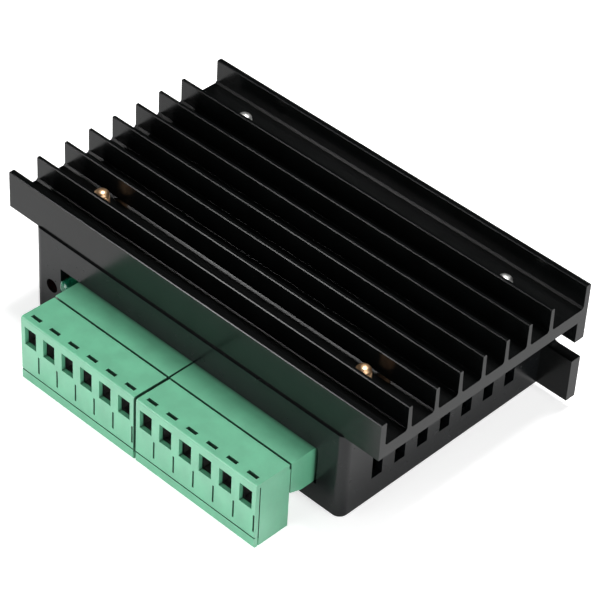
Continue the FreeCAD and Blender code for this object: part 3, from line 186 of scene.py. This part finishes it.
def paint_crevice_shade(material, reach, shade):
    """Painted shade: the base colour darkens to a share of itself in narrow gaps, but not close over the
    floor.
    """
    base = shader_of(material).inputs["Base Color"]
    gap = add_node(material, "ShaderNodeAmbientOcclusion")
    gap.inputs["Distance"].default_value = reach
    share = add_node(material, "ShaderNodeMapRange")
    share.inputs["From Min"].default_value = 0.35
    share.inputs["From Max"].default_value = 0.85
    share.inputs["To Min"].default_value = shade
    share.inputs["To Max"].default_value = 1.0
    product = add_node(material, "ShaderNodeVectorMath", operation="SCALE")
    place = add_node(material, "ShaderNodeTexCoord")
    parts = add_node(material, "ShaderNodeSeparateXYZ")
    near_floor = add_node(material, "ShaderNodeMath", operation="LESS_THAN")
    near_floor.inputs[1].default_value = cad_box[0].z + CREVICE_LOWEST
    kept = add_node(material, "ShaderNodeMath", operation="MAXIMUM")
    link(material, place.outputs["Object"], parts.inputs["Vector"])
    link(material, parts.outputs["Z"], near_floor.inputs[0])
    link(material, share.outputs["Result"], kept.inputs[0])
    link(material, near_floor.outputs["Value"], kept.inputs[1])
    link(material, gap.outputs["AO"], share.inputs["Value"])
    link(material, base.links[0].from_socket, product.inputs["Vector"])
    link(material, kept.outputs["Value"], product.inputs["Scale"])
    link(material, product.outputs["Vector"], base)


def shades(colour, spread):
    """A darker and a lighter shade of one colour."""
    dark = tuple(part * (1.0 - spread) for part in colour)
    light = tuple(part * (1.0 + spread) for part in colour)
    return dark, light


# Materials of the metal pieces

def black_anodised():
    """Dyed extrusion: satin black with faint draw lines along the fins."""
    colour = (0.0020, 0.0024, 0.0024)
    material = new_material("black_anodised", colour, 0.21, specular=0.34)
    lines = noise(material, 0.25 * MM, stretch=(120.0, 1.0, 1.0))
    vary_colour(material, noise(material, 6.0 * MM), *shades(colour, 0.25))
    vary_roughness(material, lines, 0.18, 0.25)
    add_bump(material, lines, 0.002 * MM)
    add_bump(material, noise(material, 0.12 * MM), 0.0004 * MM)
    return material


def brass():
    """Turned brass, bright and slightly uneven."""
    colour = (0.96, 0.61, 0.35)
    material = new_material("brass", colour, 0.4, metallic=1.0)
    cloud = noise(material, 1.2 * MM)
    vary_colour(material, cloud, *shades(colour, 0.12))
    vary_roughness(material, cloud, 0.34, 0.46)
    add_bump(material, noise(material, 0.15 * MM, stretch=(1.0, 1.0, 0.2)), 0.003 * MM)
    return material


def plated_metal(name, colour, roughness, grain=0.2 * MM):
    """Plated metal with a slightly uneven gloss."""
    material = new_material(name, colour, roughness, metallic=1.0)
    cloud = noise(material, 0.9 * MM)
    vary_colour(material, cloud, *shades(colour, 0.12))
    vary_roughness(material, cloud, roughness * 0.8, roughness * 1.3)
    add_bump(material, noise(material, grain), 0.003 * MM)
    return material


def can_metal():
    """Drawn can: bright aluminium with a fine grain along its length."""
    colour = (0.62, 0.63, 0.65)
    material = new_material("can_metal", colour, 0.3, metallic=1.0)
    grain = noise(material, 0.2 * MM, stretch=(1.0, 1.0, 15.0))
    vary_colour(material, grain, *shades(colour, 0.08))
    vary_roughness(material, grain, 0.22, 0.36)
    return material


# Materials of the moulded pieces

def black_moulding():
    """Black cover: semi-gloss moulding with a fine grain."""
    colour = (0.0030, 0.0036, 0.0042)
    material = new_material("black_moulding", colour, 0.24, specular=0.34)
    vary_colour(material, noise(material, 5.0 * MM), *shades(colour, 0.2))
    vary_roughness(material, noise(material, 1.5 * MM), 0.21, 0.28)
    add_bump(material, noise(material, 0.3 * MM), 0.005 * MM)
    return material


def terminal_green():
    """Green polyamide with soft flow marks and a satin sheen, and painted shade in its narrow gaps."""
    colour = (0.115, 0.405, 0.240)
    material = new_material("terminal_green", colour, 0.34, specular=1.0)
    shader_of(material).inputs["Coat Weight"].default_value = 0.6
    shader_of(material).inputs["Coat Roughness"].default_value = 0.3
    flow = noise(material, 3.5 * MM, stretch=(1.0, 1.0, 1.6))
    vary_colour(material, flow, *shades(colour, 0.07))
    # painted shade: the green darkens in narrow gaps and crevices, where little light gets in
    paint_crevice_shade(material, CREVICE_REACH, CREVICE_SHADE)
    vary_roughness(material, noise(material, 0.8 * MM), 0.32, 0.44)
    add_bump(material, noise(material, 0.18 * MM), 0.004 * MM)
    return material


def plain_moulding(name, colour, roughness, spread=0.1):
    """Moulded plastic or resin of one colour, slightly uneven."""
    material = new_material(name, colour, roughness)
    vary_colour(material, noise(material, 2.0 * MM), *shades(colour, spread))
    vary_roughness(material, noise(material, 0.7 * MM), roughness * 0.85, roughness * 1.15)
    add_bump(material, noise(material, 0.15 * MM), 0.004 * MM)
    return material


def lens(name, colour):
    """Tinted clear resin with a faint cloud inside."""
    material = new_material(name, colour, 0.08)
    shader = shader_of(material)
    shader.inputs["Transmission Weight"].default_value = RESIN_CLEARNESS
    shader.inputs["IOR"].default_value = RESIN_IOR
    vary_colour(material, noise(material, 0.8 * MM), *shades(colour, 0.15))
    return material


def board_green():
    """Solder mask with the traces under it standing out a little lighter."""
    material = new_material("board_green", (0.01, 0.09, 0.04), 0.3)
    place = add_node(material, "ShaderNodeTexCoord")
    mapping = add_node(material, "ShaderNodeMapping")
    mapping.inputs["Scale"].default_value = (1.0 / TRACE_GRID,) * 3
    traces = add_node(material, "ShaderNodeTexVoronoi", feature="DISTANCE_TO_EDGE", distance="CHEBYCHEV")
    traces.inputs["Scale"].default_value = 1.0
    link(material, place.outputs["Object"], mapping.inputs["Vector"])
    link(material, mapping.outputs["Vector"], traces.inputs["Vector"])
    trace, mask = (0.02, 0.16, 0.07), (0.008, 0.075, 0.035)
    vary_colour(material, traces.outputs["Distance"], trace, mask, low=0.08, high=0.12)
    vary_roughness(material, noise(material, 1.0 * MM), 0.24, 0.36)
    add_bump(material, noise(material, 0.4 * MM), 0.004 * MM)
    return material


def resistor_body():
    """Flat resistor: dark body, with its tinned ends told from the middle along the fins."""
    colour = (0.02, 0.02, 0.022)
    material = new_material("resistor_body", colour, 0.45)
    low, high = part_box("sense_resistors")
    middle = (low.x + high.x) / 2
    place = add_node(material, "ShaderNodeTexCoord")
    parts = add_node(material, "ShaderNodeSeparateXYZ")
    shift = add_node(material, "ShaderNodeMath", operation="SUBTRACT")
    shift.inputs[1].default_value = middle
    size = add_node(material, "ShaderNodeMath", operation="ABSOLUTE")
    ends = add_node(material, "ShaderNodeMath", operation="GREATER_THAN")
    ends.inputs[1].default_value = (high.x - low.x) / 2 - RESISTOR_END
    link(material, place.outputs["Object"], parts.inputs["Vector"])
    link(material, parts.outputs["X"], shift.inputs[0])
    link(material, shift.outputs["Value"], size.inputs[0])
    link(material, size.outputs["Value"], ends.inputs[0])
    vary_colour(material, ends.outputs["Value"], colour, (0.6, 0.6, 0.6), low=0.4, high=0.6)
    link(material, ends.outputs["Value"], shader_of(material).inputs["Metallic"])
    vary_roughness(material, noise(material, 0.6 * MM), 0.35, 0.5)
    return material


MATERIALS = {
    "black_anodised": black_anodised(),
    "black_moulding": black_moulding(),
    "board_green": board_green(),
    "brass": brass(),
    "steel": plated_metal("steel", (0.85, 0.85, 0.83), 0.42),
    "spacer_metal": plated_metal("spacer_metal", (0.66, 0.66, 0.67), 0.32),
    "lens_green": lens("lens_green", (0.03, 0.42, 0.24)),
    "lens_red": lens("lens_red", (0.40, 0.03, 0.03)),
    "tinned": plated_metal("tinned", (0.68, 0.68, 0.67), 0.3),
    "plated_clamp": plated_metal("plated_clamp", (0.16, 0.16, 0.155), 0.42),
    "terminal_green": terminal_green(),
    "switch_red": plain_moulding("switch_red", (0.42, 0.018, 0.014), 0.38),
    "black_resin": plain_moulding("black_resin", (0.018, 0.018, 0.019), 0.55, spread=0.25),
    "soft_pad": plain_moulding("soft_pad", (0.24, 0.27, 0.31), 0.75, spread=0.08),
    "can_metal": can_metal(),
    "resistor_body": resistor_body(),
    "knob_white": plain_moulding("knob_white", (0.74, 0.74, 0.70), 0.4, spread=0.04),
}


def dress_cad_nodes():
    """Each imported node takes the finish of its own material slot."""
    slots = {part["node"]: part["material_slot"] for part in frame["record"]["subparts"]}
    for name, piece in frame["nodes"].items():
        for slot in piece.material_slots:
            slot.material = MATERIALS[slots[name]]


# Pieces that the scene adds

def new_piece(name, vertices, faces, material, body="housing", smooth=True):
    """A mesh piece that rides on a body, with outward faces."""
    mesh = bpy.data.meshes.new(name)
    mesh.from_pydata(vertices, [], faces)
    shape = bmesh.new()
    shape.from_mesh(mesh)
    bmesh.ops.recalc_face_normals(shape, faces=shape.faces)
    shape.to_mesh(mesh)
    shape.free()
    mesh.materials.append(MATERIALS[material])
    mesh.shade_smooth() if smooth else mesh.shade_flat()
    piece = bpy.data.objects.new(name, mesh)
    bpy.context.scene.collection.objects.link(piece)
    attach(piece, body)
    return piece


def helix_thread(name, centre, low, high, material):
    """A V-shaped thread wound round a stud, closed at both ends."""
    steps = 36
    turns = (high - low) / THREAD_PITCH - 1.0
    total = int(turns * steps)
    sunk = STUD_RADIUS - THREAD_SUNK
    crest = STUD_RADIUS + THREAD_RISE
    half = THREAD_PITCH * 0.47
    vertices = []
    for step in range(total + 1):
        angle = 2.0 * math.pi * step / steps
        level = low + THREAD_PITCH * step / steps + half
        fade = min(1.0, step / steps, (total - step) / steps)
        height = sunk + (crest - sunk) * fade
        for radius, rise in ((sunk, -half), (height, 0.0), (sunk, half)):
            vertices.append((centre.x + radius * math.cos(angle),
                             centre.y + radius * math.sin(angle), level + rise))
    faces = [(0, 1, 2), tuple(3 * total + corner for corner in (2, 1, 0))]
    for step in range(total):
        here, there = 3 * step, 3 * step + 3
        for corner in range(3):
            after = (corner + 1) % 3
            faces.append((here + corner, here + after, there + after, there + corner))
    return new_piece(name, vertices, faces, material)


def stud_centres(node):
    """The middle of each of a node's two studs across the fins, left then right."""
    low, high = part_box(node)
    corners = [vertex.co for vertex in frame["nodes"][node].data.vertices]
    centres = []
    for side in (-1, 1):
        own = [corner for corner in corners if corner.x * side > 0]
        centres.append(Vector(((min(c.x for c in own) + max(c.x for c in own)) / 2,
                               (min(c.y for c in own) + max(c.y for c in own)) / 2, high.z)))
    return centres


def rounded_tip(name, centre, material):
    """A low dome that closes a stud's end, with its rim sunk into the stud."""
    steps, rings = 40, 10
    vertices = [(centre.x, centre.y, centre.z + TIP_RISE)]
    for ring in range(1, rings + 1):
        slope = math.radians(90.0) * ring / rings
        radius = TIP_RADIUS * math.sin(slope)
        level = centre.z - TIP_SUNK + (TIP_RISE + TIP_SUNK) * math.cos(slope)
        for step in range(steps):
            angle = 2.0 * math.pi * step / steps
            vertices.append((centre.x + radius * math.cos(angle),
                             centre.y + radius * math.sin(angle), level))
    faces = [(0, 1 + step, 1 + (step + 1) % steps) for step in range(steps)]
    for ring in range(rings - 1):
        for step in range(steps):
            after = (step + 1) % steps
            here, below = 1 + ring * steps, 1 + (ring + 1) * steps
            faces.append((here + step, below + step, below + after, here + after))
    rim = 1 + (rings - 1) * steps
    faces.append(tuple(rim + step for step in reversed(range(steps))))
    return new_piece(name, vertices, faces, material)


def stud_ends():
    """Threads on the studs that stand above the heatsink's base, and their rounded tips."""
    base_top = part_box("heatsink")[1].z - FIN_HEIGHT
    for node, material in (("brass_standoffs", "brass"), ("cover_screws", "steel")):
        for side, centre in zip(("left", "right"), stud_centres(node)):
            helix_thread(f"{node}_thread_{side}", centre, base_top - THREAD_PITCH,
                         centre.z - STUD_CHAMFER, material)
            rounded_tip(f"{node}_tip_{side}", centre, material)


# Floor, light and camera

def floor():
    """A pale floor that keeps the shadow, is white to the camera elsewhere and is clear from below."""
    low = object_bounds()[0].z - FLOOR_DROP
    mesh = bpy.data.meshes.new("floor")
    corners = [(-FLOOR_HALF, -FLOOR_HALF, low), (FLOOR_HALF, -FLOOR_HALF, low),
               (FLOOR_HALF, FLOOR_HALF, low), (-FLOOR_HALF, FLOOR_HALF, low)]
    mesh.from_pydata(corners, [], [(0, 1, 2, 3)])
    plane = bpy.data.objects.new("floor", mesh)
    bpy.context.scene.collection.objects.link(plane)
    material = new_material("floor_white", (0.86, 0.86, 0.86), 0.9, specular=0.0)
    shader = shader_of(material)
    output = material.node_tree.nodes["Material Output"]
    seen = add_node(material, "ShaderNodeLightPath")
    direct = add_node(material, "ShaderNodeMath", operation="MAXIMUM")
    link(material, seen.outputs["Is Camera Ray"], direct.inputs[0])
    link(material, seen.outputs["Is Transmission Ray"], direct.inputs[1])
    lift = add_node(material, "ShaderNodeMath", operation="MULTIPLY")
    lift.inputs[1].default_value = FLOOR_LIFT
    link(material, direct.outputs["Value"], lift.inputs[0])
    mirrored = add_node(material, "ShaderNodeMath", operation="MULTIPLY_ADD")
    mirrored.inputs[1].default_value = FLOOR_GLOSS_LIFT
    link(material, seen.outputs["Is Glossy Ray"], mirrored.inputs[0])
    link(material, lift.outputs["Value"], mirrored.inputs[2])
    glow = add_node(material, "ShaderNodeEmission")
    link(material, mirrored.outputs["Value"], glow.inputs["Strength"])
    both = add_node(material, "ShaderNodeAddShader")
    link(material, shader.outputs["BSDF"], both.inputs[0])
    link(material, glow.outputs["Emission"], both.inputs[1])
    below = add_node(material, "ShaderNodeNewGeometry")
    passed = add_node(material, "ShaderNodeMath", operation="MAXIMUM")
    link(material, below.outputs["Backfacing"], passed.inputs[0])
    link(material, seen.outputs["Is Shadow Ray"], passed.inputs[1])
    clear = add_node(material, "ShaderNodeBsdfTransparent")
    choice = add_node(material, "ShaderNodeMixShader")
    link(material, passed.outputs["Value"], choice.inputs["Fac"])
    link(material, both.outputs["Shader"], choice.inputs[1])
    link(material, clear.outputs["BSDF"], choice.inputs[2])
    link(material, choice.outputs["Shader"], output.inputs["Surface"])
    mesh.materials.append(material)
    plane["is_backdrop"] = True


def world_light():
    """Faint even light. The camera sees white, and reflections see white at the horizon, dark above."""
    world = bpy.data.worlds.new("studio")
    world.use_nodes = True
    bpy.context.scene.world = world
    nodes, links = world.node_tree.nodes, world.node_tree.links
    background = nodes["Background"]
    background.inputs["Color"].default_value = (1.0, 1.0, 1.0, 1.0)
    seen = nodes.new("ShaderNodeLightPath")
    place = nodes.new("ShaderNodeTexCoord")
    parts = nodes.new("ShaderNodeSeparateXYZ")
    links.new(place.outputs["Generated"], parts.inputs["Vector"])
    ceiling = nodes.new("ShaderNodeMapRange")
    ceiling.inputs["From Min"].default_value = HORIZON_TOP
    ceiling.inputs["From Max"].default_value = CEILING_START
    ceiling.inputs["To Min"].default_value = HORIZON_GLOW
    ceiling.inputs["To Max"].default_value = CEILING_GLOW
    links.new(parts.outputs["Z"], ceiling.inputs["Value"])
    reflected = nodes.new("ShaderNodeMix")
    reflected.inputs["A"].default_value = WORLD_LIGHT
    links.new(seen.outputs["Is Glossy Ray"], reflected.inputs["Factor"])
    links.new(ceiling.outputs["Result"], reflected.inputs["B"])
    direct = nodes.new("ShaderNodeMath")
    direct.operation = "MAXIMUM"
    links.new(seen.outputs["Is Camera Ray"], direct.inputs[0])
    links.new(seen.outputs["Is Transmission Ray"], direct.inputs[1])
    strength = nodes.new("ShaderNodeMix")
    strength.inputs["B"].default_value = 1.0
    links.new(direct.outputs["Value"], strength.inputs["Factor"])
    links.new(reflected.outputs["Result"], strength.inputs["A"])
    links.new(strength.outputs["Result"], background.inputs["Strength"])


def area_light(name, place, size, power):
    """A square lamp aimed at the part."""
    lamp = bpy.data.lights.new(name, "AREA")
    lamp.shape = "SQUARE"
    lamp.size = size
    lamp.energy = power
    holder = bpy.data.objects.new(name, lamp)
    holder.location = place
    holder.rotation_mode = "QUATERNION"
    holder.rotation_quaternion = (-Vector(place)).to_track_quat("-Z", "Y")
    bpy.context.scene.collection.objects.link(holder)


def lights():
    """Soft lamps round the part, and one that lights its underside through the floor."""
    world_light()
    area_light("key", (-0.25, -1.1, 0.38), 0.7, 8.0)
    area_light("fill", (0.95, -0.35, 0.45), 0.8, 7.5)
    area_light("overhead", (0.0, 0.26, 0.95), 0.35, 8.2)
    area_light("edge", (-0.6, -0.77, 0.63), 0.14, 1.3)
    area_light("underside", (0.25, -0.35, -0.9), 0.6, 5.0)


def camera():
    """The photograph's own viewpoint."""
    data = bpy.data.cameras.new("camera")
    data.lens = CAMERA_LENS_MM
    data.sensor_width = SENSOR_MM
    data.sensor_fit = "HORIZONTAL"
    data.clip_start = 0.01
    data.clip_end = 20.0
    ahead = Vector((-math.sin(CAMERA_AZIMUTH) * math.cos(CAMERA_ELEVATION),
                    math.cos(CAMERA_AZIMUTH) * math.cos(CAMERA_ELEVATION),
                    -math.sin(CAMERA_ELEVATION)))
    level = Vector((math.cos(CAMERA_AZIMUTH), math.sin(CAMERA_AZIMUTH), 0.0))
    upright = level.cross(ahead)
    right = level * math.cos(CAMERA_ROLL) + upright * math.sin(CAMERA_ROLL)
    above = right.cross(ahead)
    turn = Matrix((right, above, -ahead)).transposed()
    holder = bpy.data.objects.new("camera", data)
    holder.rotation_mode = "QUATERNION"
    holder.rotation_quaternion = turn.to_quaternion()
    holder.location = CAMERA_PLACE
    bpy.context.scene.collection.objects.link(holder)
    bpy.context.scene.camera = holder


dress_cad_nodes()
stud_ends()
floor()
lights()
camera()

bpy.context.scene.view_settings.view_transform = "Standard"

bpy.context.view_layer.update()
